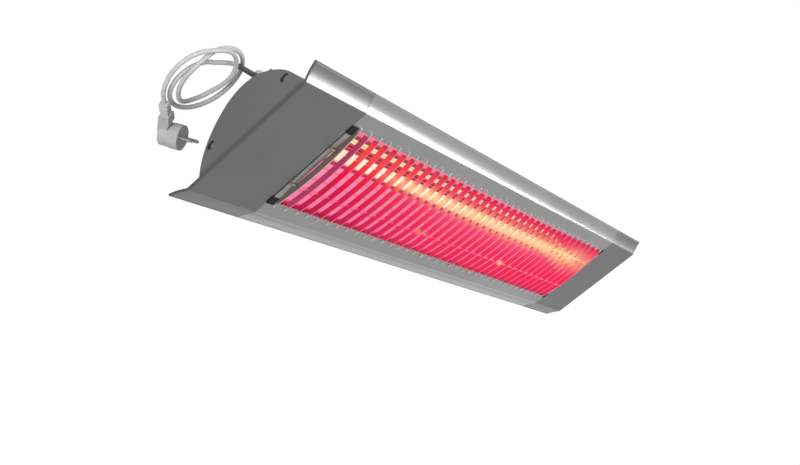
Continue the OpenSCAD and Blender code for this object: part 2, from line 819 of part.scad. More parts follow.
module rail_bolts() {
    color("#9A9A9A") for (x = [-bracket_x, bracket_x], s = [-1, 1])
        translate([x + s * saddle_bolt_x, 0, 0]) {
            translate([0, 0, standoff + slot_lip])
                cylinder(h = bolt_head_h, r = bolt_head_w / 2 / cos(30), $fn = 6);
            translate([0, 0, standoff - steel_t - 6.5])
                cylinder(h = slot_lip + steel_t + 6.6, r = rail_bolt_d / 2);
        }
}

module rail_nuts() {
    color("#9A9A9A") for (x = [-bracket_x, bracket_x], s = [-1, 1])
        translate([x + s * saddle_bolt_x, 0, standoff - steel_t - 5]) difference() {
            cylinder(h = 5, r = bolt_head_w / 2 / cos(30), $fn = 6);
            translate([0, 0, -1]) cylinder(h = 7, r = rail_bolt_d / 2 + fit / 2);
        }
}

module foot2d() {
    r = 6;
    square([foot_l - 2 * r, foot_w], center = true);
    square([foot_l, foot_w - 2 * r], center = true);
    for (sx = [-1, 1], sy = [-1, 1])
        translate([sx * (foot_l / 2 - r), sy * (foot_w / 2 - r)]) circle(r, $fn = 32);
}

// Wall bracket: a base plate with two ears around the tilt axis
module bracket(x) {
    color("#8C8F8E") translate([x, 0, 0]) difference() {
        union() {
            linear_extrude(steel_t) foot2d();
            for (s = [0, 1]) mirror([s, 0, 0]) along_x(ear_gap / 2, steel_t) union() {
                translate([0, pivot_z]) circle(bracket_ear_r);
                polygon([
                    [-2 * bracket_ear_r, 0], [2 * bracket_ear_r, 0],
                    [bracket_ear_r, pivot_z], [-bracket_ear_r, pivot_z]]);
            }
        }
        rod_x(-ear_gap, 2 * ear_gap, pivot_d / 2 + fit / 2, 0, pivot_z);
        for (sx = [-1, 1], sy = [-1, 1])
            translate([sx * hole_sx / 2, sy * hole_sy / 2, -1]) cylinder(h = steel_t + 2, r = hole_d / 2);
    }
}

ear_out = ear_gap / 2 + steel_t;

module pivot_bolts() {
    color("#B0B0B0") for (x = [-bracket_x, bracket_x]) {
        rod_x(x - ear_out - washer_t, 2 * ear_out + 2 * washer_t + nut_h + 3, pivot_d / 2, 0, pivot_z);
        hex_x(x - ear_out - washer_t - pivot_head_h, pivot_head_h, pivot_flats, 0, pivot_z);
    }
}

module pivot_washers() {
    color("#C4C4C4") for (x = [-bracket_x, bracket_x], at = [-ear_out - washer_t, ear_out]) difference() {
        rod_x(x + at, washer_t, pivot_d, 0, pivot_z);
        rod_x(x + at - 1, washer_t + 2, pivot_d / 2 + fit, 0, pivot_z);
    }
}

module friction_washers() {
    gap = (ear_gap - saddle_l) / 2;
    t = gap - 0.2;
    color("#5A3F2C") for (x = [-bracket_x, bracket_x], at = [-ear_gap / 2, ear_gap / 2 - t]) difference() {
        rod_x(x + at, t, 1.125 * pivot_d, 0, pivot_z);
        rod_x(x + at - 1, t + 2, pivot_d / 2 + fit, 0, pivot_z);
    }
}

module pivot_nuts() {
    color("#B0B0B0") for (x = [-bracket_x, bracket_x]) difference() {
        hex_x(x + ear_out + washer_t, nut_h, pivot_flats, 0, pivot_z);
        rod_x(x + ear_out, nut_h + 4, pivot_d / 2 + fit / 2, 0, pivot_z);
    }
}

// The cord's loops lie on the mounting surface. Each value is given at the
// start, the middle and the end of the turns, and runs smoothly between them.
turn_from = 108;
turn_to = 868;
turn_cx = [gland_x0 - 53, gland_x0 - 50, gland_x0 - 82];
turn_cy = [-60, -34, -41];
turn_ax = [37, 40, 25];
turn_ay = [45, 50, 42];
turn_u0 = 100;
turn_span = 860;
layer_step = cord_d + 2;
turn_rings = 72;
cord_sides = 10;

function smooth(a, b, x) = let (t = min(max((x - a) / (b - a), 0), 1)) t * t * (3 - 2 * t);
function hump(a, b, c, d, x) = smooth(a, b, x) * (1 - smooth(c, d, x));
function through(v, u) = v[0] * (1 - u) * (1 - 2 * u) + 4 * v[1] * u * (1 - u) + v[2] * u * (2 * u - 1);
function turn_height(a) = cord_r + layer_step * (hump(480, 540, 602, 668, a) + hump(685, 745, 828, 885, a));
function turn_point(a) = let (u = (a - turn_u0) / turn_span) [
    through(turn_cx, u) + through(turn_ax, u) * cos(a),
    through(turn_cy, u) + through(turn_ay, u) * sin(a),
    turn_height(a)];
coil_path = [for (i = [0:turn_rings]) turn_point(turn_from + (turn_to - turn_from) * i / turn_rings)];

// The least gap between turns, measured on the coil's points further apart than a third of a turn
near_rings = round(turn_rings * 120 / (turn_to - turn_from));
turn_gap = min([for (i = [0:turn_rings], k = [0:turn_rings])
    if (k > i + near_rings) norm(coil_path[k] - coil_path[i]) - cord_d]);
echo(least_gap_between_turns_mm = turn_gap);

// A smooth curve through points chosen by hand
function curve_at(p, i, t) =
    let (a = p[max(i - 1, 0)], b = p[i], c = p[i + 1], d = p[min(i + 2, len(p) - 1)])
    0.5 * (2 * b + (c - a) * t + (2 * a - 5 * b + 4 * c - d) * t * t + (3 * b - a - 3 * c + d) * t * t * t);
function curve(p, steps) = [
    for (i = [0:len(p) - 2], k = [0:steps - 1]) curve_at(p, i, k / steps), p[len(p) - 1]];

coil_start = coil_path[0];
coil_end = coil_path[turn_rings];
coil_start_dir = unit(coil_path[1] - coil_start);
coil_end_dir = unit(coil_end - coil_path[turn_rings - 1]);

lead_points_hand = [
    [gland_x0, 0, gland_z], [gland_x0 - 6, -0.1, 15.8], [gland_x0 - 12, -0.5, 14.4],
    [gland_x0 - 18, -1.1, 12], [gland_x0 - 24, -2.1, 9.2], [gland_x0 - 30, -3.3, 6.4],
    [gland_x0 - 36, -5, 4], [gland_x0 - 45, -8.4, cord_r]];
lead_path = concat(curve(lead_points_hand, 2), [coil_start - 2 * coil_start_dir, coil_start]);

lead_gap = min([for (a = lead_path, b = [for (i = [6:turn_rings]) coil_path[i]]) norm(a - b) - cord_d]);
echo(least_gap_lead_to_turns_mm = lead_gap);

module cord_lead() {
    color("#D6D6D6") tube(lead_path, cord_r, cord_sides, [-1, 0, 0], coil_start_dir);
}

module cord_coil() {
    color("#D6D6D6") tube(coil_path, cord_r, cord_sides, coil_start_dir, coil_end_dir);
}

// The plug lies on the surface with its pins up at a slant and its neck down to the cord.
// In its own frame the pins point along X and the neck along Y.
plug_turn = 50;
plug_droop = 11;
plug_tilt = 50;
barrel_r = plug_d / 2;
barrel_l = 16;
barrel_x = 2;
back_r = barrel_r - 0.8;
back_x = -10;
boot_w = 12;
boot_h = 11;
pin_gap = 19;
pin_r = 2.4;
pin_l = 19;
neck_dir = [-sin(plug_turn) * cos(plug_droop), cos(plug_turn) * cos(plug_droop), -sin(plug_droop)];
axis_up = sin(plug_tilt) * cos(plug_droop);
side_up = cos(plug_tilt) * cos(plug_droop);
// Height at which the round back, or the corner of the strain relief, rests on the surface
plug_z = 0.1 + max(-back_x * axis_up + back_r * sqrt(1 - pow(axis_up, 2)),
    neck_l * sin(plug_droop) + boot_w / 2 * axis_up + boot_h / 2 * side_up);
plug_at = [gland_x0 - 37, -129, plug_z];
boot_end = plug_at + neck_l * neck_dir;
tail_points_hand = [
    coil_end, [gland_x0 - 102, -24, 3.7], [gland_x0 - 105, -42, 3.5], [gland_x0 - 101, -62, 3.6],
    [gland_x0 - 91.5, -81.5, 5.6], boot_end];
tail_path = curve(tail_points_hand, 4);

module cord_tail() {
    color("#D6D6D6") tube(tail_path, cord_r, cord_sides, coil_end_dir, -neck_dir);
}

module place_plug() {
    translate(plug_at) rotate([0, 0, plug_turn]) rotate([-plug_droop, 0, 0]) rotate([0, -plug_tilt, 0])
        children();
}

// Ribbed strain relief, a square sleeve that the cord runs into
module plug_boot() {
    rib = 1.8;
    ribs = floor((boot_l - 1) / (2 * rib));
    color("#BEBEBE") place_plug() union() {
        translate([-boot_w / 2 + 0.8, neck_l - boot_l, -boot_h / 2 + 0.8])
            cube([boot_w - 1.6, boot_l, boot_h - 1.6]);
        for (i = [0:ribs - 1]) translate([-boot_w / 2, neck_l - rib - i * 2 * rib, -boot_h / 2])
            cube([boot_w, rib, boot_h]);
    }
}

// Body: a slanted neck that runs into a round back, with a small grip on it
module plug_body() {
    neck_end = neck_l - boot_l;
    color("#CFCFCF") place_plug() union() {
        translate([back_x, 0, 0]) rotate([0, 90, 0]) cylinder(h = barrel_x - back_x, r = back_r);
        linear_extrude(boot_h + 5, center = true) polygon([
            [barrel_x, -back_r + 1], [back_x + 3, -back_r + 2], [back_x - 2.5, -6], [back_x - 2.5, 12],
            [-boot_w / 2 - 1, neck_end], [boot_w / 2 + 1, neck_end], [boot_w / 2, barrel_r + 6],
            [barrel_x, barrel_r + 0.4]]);
    }
}

module plug_barrel() {
    color("#C6C6C6") place_plug() rotate([pin_turn, 0, 0]) difference() {
        union() {
            translate([barrel_x, 0, 0]) rotate([0, 90, 0]) cylinder(h = 1.2, r = barrel_r - 1);
            translate([barrel_x + 1.2, 0, 0]) rotate([0, 90, 0]) cylinder(h = barrel_l - 1.2, r = barrel_r);
        }
        for (s = [0, 1]) mirror([0, 0, s])
            translate([barrel_x - 1, -2.2, barrel_r - 2.4]) cube([barrel_l + 2, 4.4, 3]);
        for (s = [0, 1]) mirror([0, s, 0])
            translate([barrel_x + 3, barrel_r - 2, -1.6]) cube([barrel_l, 3, 3.2]);
        for (s = [-1, 1]) translate([barrel_x + 6, s * pin_gap / 2, 0]) rotate([0, 90, 0])
            cylinder(h = barrel_l, r = pin_r + 0.05);
    }
}

module plug_pins() {
    pin_x = barrel_x + 6;
    pin_end = barrel_x + barrel_l + pin_l;
    color("#E2E2E2") place_plug() rotate([pin_turn, 0, 0]) for (s = [-1, 1])
        translate([0, s * pin_gap / 2, 0]) rotate([0, 90, 0]) rotate_extrude() polygon([
            [0, pin_x], [pin_r, pin_x], [pin_r, pin_end - 1.6], [pin_r - 1.4, pin_end], [0, pin_end]]);
}

module plug_earth_strips() {
    color("#D9C27A") place_plug() rotate([pin_turn, 0, 0]) for (s = [0, 1]) mirror([0, 0, s])
        translate([barrel_x + 0.5, -2, barrel_r - 2.4]) cube([barrel_l - 2, 4, 1.2]);
}

housing();
end_cap();  // end_cap_left
mirror([1, 0, 0]) end_cap();  // end_cap_right
end_gasket();  // end_gasket_left
mirror([1, 0, 0]) end_gasket();  // end_gasket_right
cap_screws();  // cap_screws_left
mirror([1, 0, 0]) cap_screws();  // cap_screws_right
reflector();
reflector_end();  // reflector_end_left
mirror([1, 0, 0]) reflector_end();  // reflector_end_right
grille_blades();
grille_rods();
grille_rail();  // grille_rail_left
mirror([1, 0, 0]) grille_rail();  // grille_rail_right
grille_clips();
lamp_tube();
lamp_filament();
lamp_base();  // lamp_base_left
mirror([1, 0, 0]) lamp_base();  // lamp_base_right
lamp_socket();  // lamp_socket_left
mirror([1, 0, 0]) lamp_socket();  // lamp_socket_right
socket_shelf();  // socket_shelf_left
mirror([1, 0, 0]) socket_shelf();  // socket_shelf_right
lead_wire_left();
lead_wire_right();
wire_grommets();
terminal_box();
terminal_lid();
lid_screws();
terminal_block();
terminal_screws();
box_bolts();
gland_body();
gland_locknut();
gland_seal();
gland_nut();
supply_end();
saddle(-bracket_x);  // saddle_left
saddle(bracket_x);  // saddle_right
rail_bolts();
rail_nuts();
bracket(-bracket_x);  // bracket_left
bracket(bracket_x);  // bracket_right
pivot_bolts();
pivot_washers();
friction_washers();
pivot_nuts();
cord_lead();
cord_coil();
cord_tail();
plug_boot();
plug_body();
plug_barrel();
plug_pins();
plug_earth_strips();
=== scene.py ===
# %% [markdown]
# # An infrared heater with a louvred grille
#
# A long extruded housing with two swept wings holds a glowing lamp behind a row of thin blades.
# Grey cast caps close its ends, and a white supply cord lies beside one of them in loose loops.
# The CAD model gives every rigid part its exact place, so this file adds what the CAD leaves
# plain: the cord, softened edges, the blades' glow, and a finish for each surface.

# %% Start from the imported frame
import json
import math

import bmesh
import bpy
from mathutils import Matrix, Vector


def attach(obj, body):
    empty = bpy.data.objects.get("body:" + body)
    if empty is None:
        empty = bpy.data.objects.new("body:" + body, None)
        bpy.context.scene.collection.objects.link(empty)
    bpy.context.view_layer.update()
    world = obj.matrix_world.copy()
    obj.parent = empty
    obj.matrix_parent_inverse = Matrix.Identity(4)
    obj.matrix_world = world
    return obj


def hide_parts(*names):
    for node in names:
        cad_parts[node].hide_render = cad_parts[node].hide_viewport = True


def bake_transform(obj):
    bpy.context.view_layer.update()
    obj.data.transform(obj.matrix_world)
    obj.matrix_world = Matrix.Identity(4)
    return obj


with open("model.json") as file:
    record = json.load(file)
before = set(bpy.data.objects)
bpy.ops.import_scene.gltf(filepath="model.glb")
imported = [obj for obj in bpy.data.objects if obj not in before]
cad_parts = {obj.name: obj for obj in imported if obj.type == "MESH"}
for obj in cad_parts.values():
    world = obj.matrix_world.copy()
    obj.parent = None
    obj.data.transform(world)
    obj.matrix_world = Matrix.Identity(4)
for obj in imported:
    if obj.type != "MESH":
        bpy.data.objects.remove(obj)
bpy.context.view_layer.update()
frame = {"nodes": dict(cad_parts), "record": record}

nodes = frame["nodes"]

# %% [markdown]
# ## The camera
#
# The photograph looks at the heater's front from beyond its left end, a little above its long
# axis. A place and three directions at right angles say the same as any number of turns of a
# camera would. They are written out here because they came from matching the housing's corners
# to the photograph. The lamps will be stood in their places by the same helper.

# %% The camera
def add_object(name, data):
    thing = bpy.data.objects.new(name, data)
    bpy.context.scene.collection.objects.link(thing)
    return thing


def stand(thing, place, right, up, back):
    """Puts a camera or a lamp at a place, with its own three axes along these directions."""
    turn = Matrix((right, up, back)).transposed().to_4x4()
    thing.matrix_world = Matrix.Translation(place) @ turn


view_right = Vector((0.475628, 0.736803, 0.480520))
view_down = Vector((0.174762, -0.614525, 0.769297))
view_ahead = Vector((0.862112, -0.281923, -0.421050))
lens = bpy.data.cameras.new("camera")
lens.lens = 52.08
lens.sensor_width = 36
camera = add_object("camera", lens)
stand(camera, (-1.62454, 0.43130, 0.88426), view_right, -view_down, -view_ahead)
bpy.context.scene.camera = camera
print("camera", [round(c, 3) for c in camera.matrix_world.translation])

# %% [markdown]
# ## Helpers for meshes
#
# Most pieces here are lists of points and faces worked out in Python, because then each size in
# them can be read and changed. Faces wind so that they point outwards, and each piece of the
# heater is a closed solid. A tube carries its section from ring to ring without twist, so a
# cord's surface doesn't spiral.

# %% A piece from points and faces, and a tube along a path
tube_sides = 24


def new_piece(name, points, faces, smooth=True):
    mesh = bpy.data.meshes.new(name)
    mesh.from_pydata([tuple(p) for p in points], [], faces)
    if smooth:
        mesh.shade_smooth()
    return add_object(name, mesh)


def directions(path):
    """The direction of a path at each of its points."""
    steps = [(b - a).normalized() for a, b in zip(path, path[1:])]
    return [steps[0]] + [(a + b).normalized() for a, b in zip(steps, steps[1:])] + [steps[-1]]


def tube(name, path, radii):
    """A closed round tube along a path, with one radius for each point."""
    n = tube_sides
    ahead = directions(path)
    side = ahead[0].cross(Vector((0, 0, 1))).normalized()
    points, faces = [], []
    for p, d, r in zip(path, ahead, radii):
        side = (side - d * side.dot(d)).normalized()
        up = d.cross(side)
        for k in range(n):
            a = 2 * math.pi * k / n
            points.append(p + r * (math.cos(a) * side + math.sin(a) * up))
    for i in range(len(path) - 1):
        for k in range(n):
            a, b = i * n + k, i * n + (k + 1) % n
            faces.append((a, b, b + n, a + n))
    faces.append(tuple(range(n))[::-1])
    faces.append(tuple((len(path) - 1) * n + k for k in range(n)))
    return new_piece(name, points, faces)


# %% [markdown]
# A CAD part comes as loose triangles with sharp edges. To round it, a copy has its corners merged
# and its flat triangles joined to whole faces, and then a bevel follows every edge that is left
# sharper than 30 degrees.

# %% A rounded copy of a CAD part
merge_distance = 2e-6
flat_angle = math.radians(0.6)
sharp_angle = math.radians(30)


def replace_softened(node, width, segments=2):
    """A merged copy of a CAD node with its edges rounded, which stands in for the node."""
    mesh = nodes[node].data.copy()
    form = bmesh.new()
    form.from_mesh(mesh)
    bmesh.ops.remove_doubles(form, verts=form.verts, dist=merge_distance)
    bmesh.ops.dissolve_limit(form, angle_limit=flat_angle, verts=form.verts, edges=form.edges)
    form.to_mesh(mesh)
    form.free()
    piece = add_object(node + "_soft", mesh)
    bevel = piece.modifiers.new("rounded edges", "BEVEL")
    bevel.width = width
    bevel.segments = segments
    bevel.limit_method = "ANGLE"
    bevel.angle_limit = sharp_angle
    bevel.harden_normals = True
    mesh.shade_smooth()
    mesh.set_sharp_from_angle(angle=sharp_angle)
    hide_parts(node)
    return piece


# %% [markdown]
# ## The supply cord
#
# The cord leaves the gland behind the end cap, drops to the surface, runs round in loose turns
# that cross over each other, and ends at the plug. Its points are those of the CAD model, in
# millimetres here and turned to metres at the end. The turns are one ellipse that slowly drifts
# and changes its size, and its height rises in a long low hump wherever a later turn crosses an
# earlier one. All of the cord is in the photograph, so its length is simply that of this route.

# %% The turns, with their angles in degrees
cord_r = 3.1
layer_step = 8.2
turn_from, turn_to, turn_steps = 108, 868, 240
# What drifts is given at its start, its middle and its end.
drift_from, drift_span = 100, 860
centre_x, centre_y = (-520, -517, -549), (-60, -34, -41)
half_x, half_y = (37, 40, 25), (45, 50, 42)
# At a crossing the cord starts to rise, is up, starts to sink and is down again.
crossings = [(480, 540, 602, 668), (685, 745, 828, 885)]


def smooth_step(a, b, x):
    t = min(max((x - a) / (b - a), 0), 1)
    return t * t * (3 - 2 * t)


def hump(a, b, c, d, x):
    return smooth_step(a, b, x) * (1 - smooth_step(c, d, x))


def through(values, u):
    """A smooth run through three values as u goes from 0 to 1."""
    a, b, c = values
    return a * (1 - u) * (1 - 2 * u) + 4 * b * u * (1 - u) + c * u * (2 * u - 1)


def turn_point(a):
    u = (a - drift_from) / drift_span
    rise = sum(hump(*crossing, a) for crossing in crossings)
    return Vector((
        through(centre_x, u) + through(half_x, u) * math.cos(math.radians(a)),
        through(centre_y, u) + through(half_y, u) * math.sin(math.radians(a)),
        cord_r + layer_step * rise))


turns = [turn_point(turn_from + (turn_to - turn_from) * i / turn_steps)
         for i in range(turn_steps + 1)]
print("turns of", len(turns), "points")

# %% The lead from the gland, the tail to the plug, and the whole route
gland_x = -467
plug_x, plug_y, above_floor = -504, -129, 0.1
plug_turn, plug_droop, plug_tilt = (math.radians(a) for a in (50, 11, 50))
back_reach, back_r = 10, 16.2
neck_reach, boot_half_w, boot_half_h = 54, 6, 5.5


def curve(points, steps):
    """A smooth curve through given points."""
    out = []
    for i in range(len(points) - 1):
        a, b, c = points[max(i - 1, 0)], points[i], points[i + 1]
        d = points[min(i + 2, len(points) - 1)]
        for k in range(steps):
            t = k / steps
            out.append(0.5 * (2 * b + (c - a) * t + (2 * a - 5 * b + 4 * c - d) * t ** 2
                              + (3 * b - a - 3 * c + d) * t ** 3))
    return out + [points[-1]]


lead_by_hand = [Vector(p) for p in [
    (gland_x, 0, 16), (-473, -0.1, 15.8), (-479, -0.5, 14.4), (-485, -1.1, 12),
    (-491, -2.1, 9.2), (-497, -3.3, 6.4), (-503, -5, 4), (-512, -8.4, 3.1)]]
lead_end = turns[0] - 2 * (turns[1] - turns[0]).normalized()
lead = curve(lead_by_hand + [lead_end], 5)

# The plug rests either on its round back or on the corner of its boot.
neck_ahead = Vector((-math.sin(plug_turn) * math.cos(plug_droop),
                     math.cos(plug_turn) * math.cos(plug_droop), -math.sin(plug_droop)))
axis_up = math.sin(plug_tilt) * math.cos(plug_droop)
side_up = math.cos(plug_tilt) * math.cos(plug_droop)
plug_z = above_floor + max(
    back_reach * axis_up + back_r * math.sqrt(1 - axis_up ** 2),
    neck_reach * math.sin(plug_droop) + boot_half_w * axis_up + boot_half_h * side_up)
boot_end = Vector((plug_x, plug_y, plug_z)) + neck_reach * neck_ahead
tail_by_hand = [Vector(p) for p in [
    (-569, -24, 3.7), (-572, -42, 3.5), (-568, -62, 3.6), (-558.5, -81.5, 5.6)]]
tail = curve([turns[-1]] + tail_by_hand + [boot_end], 9)

route = [p / 1000 for p in lead + turns + tail[1:]]
length = sum((b - a).length for a, b in zip(route, route[1:]))
print("cord", len(route), "points,", round(length, 4), "m")

# %% [markdown]
# A sheath of soft plastic is not a perfect cylinder: it is pressed a little thinner and thicker
# as it is drawn. Thinning by up to 1.2 percent of the radius can't be measured, and still breaks
# the highlight. Where the cord leaves the gland, a tapered sleeve with shallow ribs keeps it from
# being bent sharply. The sleeve's dark grey along its whole length is painted shade: it stands
# for the shadow on this first stretch of the cord.

# %% The cord and its sleeve
sleeve_r, sleeve_taper, rib_height = 0.0037, 0.0003, 0.00012
sleeve_end_x = -498
radii = [cord_r / 1000 * (0.994 + 0.006 * math.sin(i * 0.23) * math.sin(i * 0.071))
         for i in range(len(route))]
cord = tube("supply_cord", route, radii)
sleeve_path = [p / 1000 for p in curve(lead_by_hand, 8) if p.x > sleeve_end_x]
reach = len(sleeve_path) - 1
sleeve_radii = [sleeve_r - sleeve_taper * i / reach + rib_height * (i % 4 > 1)
                for i in range(len(sleeve_path))]
sleeve = tube("cord_sleeve", sleeve_path, sleeve_radii)
print("sleeve of", len(sleeve_path), "rings")

# %% [markdown]
# ## The plug
#
# An angled earthed plug: a round face with two pins and earth strips, a flat neck to one side,
# and a ribbed boot. The CAD holds these forms with sharp edges, which moulded plastic doesn't
# have, so each part is replaced by its rounded copy.

# %% The plug's moulded parts, and what the cord is
plug_parts = [replace_softened(*part) for part in [
    ("plug_body", 0.0012, 3), ("plug_barrel", 0.0008, 3), ("plug_boot", 0.0006, 2),
    ("plug_pins", 0.0013, 4), ("plug_earth_strips", 0.0002, 1)]]
for piece in plug_parts:
    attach(piece, "base")
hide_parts("cord_lead", "cord_coil", "cord_tail")
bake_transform(cord)
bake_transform(sleeve)
print("plug of", len(plug_parts), "pieces")

# %% [markdown]
# ## Writing materials as arithmetic
#
# A shader is a graph of small steps. Written node by node it is long and hard to follow, so one
# class wraps an output and lets Python's own signs add the Math nodes, and a second one holds a
# material and adds every other kind of node through a single method.

# %% One way to add a node
def connect(tree, socket, value):
    """Gives a socket a link from another socket, or a value."""
    value = getattr(value, "socket", value)
    if isinstance(value, bpy.types.NodeSocket):
        tree.links.new(value, socket)
    elif isinstance(value, tuple) and len(socket.default_value) == 4:
        socket.default_value = (*value, 1.0)
    else:
        socket.default_value = value


def add_node(tree, kind, settings, inputs):
    """Any node: its type, its settings, then the values or links of its sockets."""
    node = tree.nodes.new(kind)
    for key, value in settings.items():
        if key == "stops":
            while len(node.color_ramp.elements) < len(value):
                node.color_ramp.elements.new(0.5)
            for stop, (place, colour) in zip(node.color_ramp.elements, value):
                stop.position = place
                stop.color = (*colour, 1.0)
        else:
            setattr(node, key, value)
    for key, value in inputs.items():
        connect(tree, node.inputs[key], value)
    return node


# %% A value that can be added and multiplied
class Value:
    """The output of a node, for use in Python arithmetic."""

    def __init__(self, finish, socket):
        self.finish = finish
        self.socket = socket

    def math(self, operation, *others, first=None):
        terms = ([first] if first is not None else []) + [self] + list(others)
        return self.finish.add("Math", {"operation": operation}, dict(enumerate(terms)))

    def __add__(self, other):
        return self.math("ADD", other)

    def __radd__(self, other):
        return self.math("ADD", first=other)

    def __sub__(self, other):
        return self.math("SUBTRACT", other)

    def __rsub__(self, other):
        return self.math("SUBTRACT", first=other)

    def __mul__(self, other):
        return self.math("MULTIPLY", other)

    def __rmul__(self, other):
        return self.math("MULTIPLY", first=other)

    def __truediv__(self, other):
        return self.math("DIVIDE", other)

    def __neg__(self):
        return self.math("MULTIPLY", -1.0)

    def __abs__(self):
        return self.math("ABSOLUTE")

    def __gt__(self, other):
        return self.math("GREATER_THAN", other)

    def __lt__(self, other):
        return self.math("LESS_THAN", other)

    def clamped(self):
        return self.finish.add("Clamp", {}, {0: self})

    def ramp(self, low, high):
        """From 0 at low to 1 at high, with soft ends."""
        return self.finish.add("MapRange", {"interpolation_type": "SMOOTHSTEP"},
                               {0: self, 1: low, 2: high, 3: 0.0, 4: 1.0})

    def band(self, low, high, high_end, low_end):
        """From 0 at low up to 1 at high, and from 1 at high_end down to 0 at low_end."""
        return self.ramp(low, high) * (1 - self.ramp(high_end, low_end))


# %% A finish and its nodes
class Finish:
    """One material. Constants go on the shader's sockets, and nodes come from add()."""

    bump_distance = 0.0002

    def __init__(self, name, colour, roughness, metallic=0.0, **constants):
        self.material = bpy.data.materials.new(name)
        self.material.use_nodes = True
        self.tree = self.material.node_tree
        self.shader = self.tree.nodes["Principled BSDF"]
        self.set("Base Color", colour)
        self.set("Roughness", roughness)
        self.set("Metallic", metallic)
        for socket, value in constants.items():
            self.set(socket.replace("_", " "), value)

    def set(self, socket, value):
        connect(self.tree, self.shader.inputs[socket], value)

    def add(self, kind, settings, inputs, output=0):
        node = add_node(self.tree, "ShaderNode" + kind, settings, inputs)
        return Value(self, node.outputs[output])

    def place(self):
        """Where a point is on the part, in metres."""
        return self.add("TexCoord", {}, {}, "Object")

    def axes(self, where, names):
        """Those coordinates of a place that are named, such as "XY"."""
        node = add_node(self.tree, "ShaderNodeSeparateXYZ", {}, {0: where})
        return [Value(self, node.outputs[name]) for name in names]

    def noise(self, where, scale, detail, stretch=None):
        if stretch is not None:
            where = self.add("Mapping", {}, {0: where, 3: stretch})
        return self.add("TexNoise", {}, {"Vector": where, "Scale": scale, "Detail": detail})

    def colours(self, factor, stops):
        return self.add("ValToRGB", {"stops": stops}, {0: factor})

    def mix(self, factor, a, b):
        """Colour a where the factor is 0, and b where it is 1."""
        return self.add("Mix", {"data_type": "RGBA"}, {0: factor, 6: a, 7: b}, 2)

    def bump(self, height, strength):
        self.set("Normal", self.add("Bump", {}, {"Height": height, "Strength": strength,
                                                 "Distance": self.bump_distance}))


def grey(level):
    return (level, level, level)


finishes = {}
print("ready to write finishes")

# %% [markdown]
# ## The plain finishes
#
# The housing is anodised aluminium: fine lines run along the extrusion, and its gloss varies
# slowly. Its wings' tips are rubbed dull, and the upper wing's tip also has painted shade.
# Both it and the caps are one colour to the eye at arm's length, and only the light moving over
# them shows the rest. Noise stretched along one axis gives the lines, and the same noise drives
# colour, gloss and bump, so that they belong together.

# %% Anodised extrusion
wing_tip = (0.1172, 0.1184)


def anodised():
    finish = Finish("anodised_extrusion", (0.40, 0.41, 0.405), 0.3, 0.72)
    where = finish.place()
    [y] = finish.axes(where, "Y")
    lines = finish.noise(where, 900.0, 2.0, (0.01, 1.0, 1.0))
    cloud = finish.noise(where, 9.0, 3.0)
    metal = finish.colours(cloud * 0.6 + lines * 0.4, [
        (0.3, (0.408, 0.416, 0.410)), (0.7, (0.482, 0.492, 0.486))])
    # Painted shade: the upper wing's tip is darkened towards grey(0.20), and the lower tip is
    # not.
    upper_tip_shade, tips = y.ramp(*wing_tip), abs(y).ramp(*wing_tip)
    finish.set("Base Color", finish.mix(upper_tip_shade * 0.6, metal, grey(0.20)))
    finish.set("Roughness", 0.15 + cloud * 0.05 + lines * 0.04 + tips * 0.4)
    finish.bump(lines, 0.12)
    return finish.material


# %% [markdown]
# The caps are cast and coated with a dark metallic paint, which has a faint orange peel. Painted
# shade darkens it at the lip round the cap's outer end, in the fold under that lip, and on the
# far cap's lower wing. On the slanted cheek it lies rougher, so the cheek is duller, and painted
# light makes the cheek a little lighter.

# %% Painted castings
def painted_cap():
    finish = Finish("painted_cap", grey(0.24), 0.3, 0.8)
    where = finish.place()
    x, y, z = finish.axes(where, "XYZ")
    peel = finish.noise(where, 260.0, 1.0)
    cloud = finish.noise(where, 14.0, 4.0)
    paint = finish.colours(cloud, [(0.3, grey(0.239)), (0.7, grey(0.260))])
    cheek = 1 - z.ramp(0.150, 0.158)
    # Painted light: the cheek gets less light, so its colour is lifted halfway towards
    # grey(0.34).
    paint = finish.mix(cheek * 0.5, paint, grey(0.34))
    # Painted shade: the lip's edge, the fold under the lip and the far cap's lower wing darken
    # towards grey(0.12).
    lip_shade = abs(x).ramp(0.5955, 0.5995)
    under_lip_shade = z.band(0.141, 0.152, 0.160, 0.164) * (1 - abs(y).ramp(0.084, 0.088))
    fold_shade = (lip_shade + under_lip_shade).clamped()
    far_wing_shade = x.ramp(0.3, 0.5) * (1 - y.ramp(-0.089, -0.084))
    dark = (fold_shade * 0.6 + far_wing_shade * 0.3).clamped()
    finish.set("Base Color", finish.mix(dark, paint, grey(0.12)))
    dull = abs(y).ramp(*wing_tip) * 0.4 + cheek * 0.3
    finish.set("Roughness", 0.23 + cloud * 0.05 + peel * 0.008 + dull)
    finish.bump(peel, 0.008)
    return finish.material


# %% [markdown]
# Seals, screws, ceramics and mouldings are small in the picture, yet none of them is flat: a slow
# cloud shifts each between two tones, and a fine grain pits it. One function makes them all.

# %% Small parts
def small_part(name, dark, light, roughness, metallic=0.0, **constants):
    """A colour between two tones, clouded and finely pitted."""
    finish = Finish(name, light, roughness, metallic, **constants)
    where = finish.place()
    cloud = finish.noise(where, 60.0, 4.0)
    grain = finish.noise(where, 840.0, 2.0)
    finish.set("Base Color", finish.colours(cloud, [(0.3, dark), (0.7, light)]))
    finish.set("Roughness", roughness - 0.06 + cloud * 0.08 + grain * 0.06)
    finish.bump(grain, 0.15)
    return finish.material


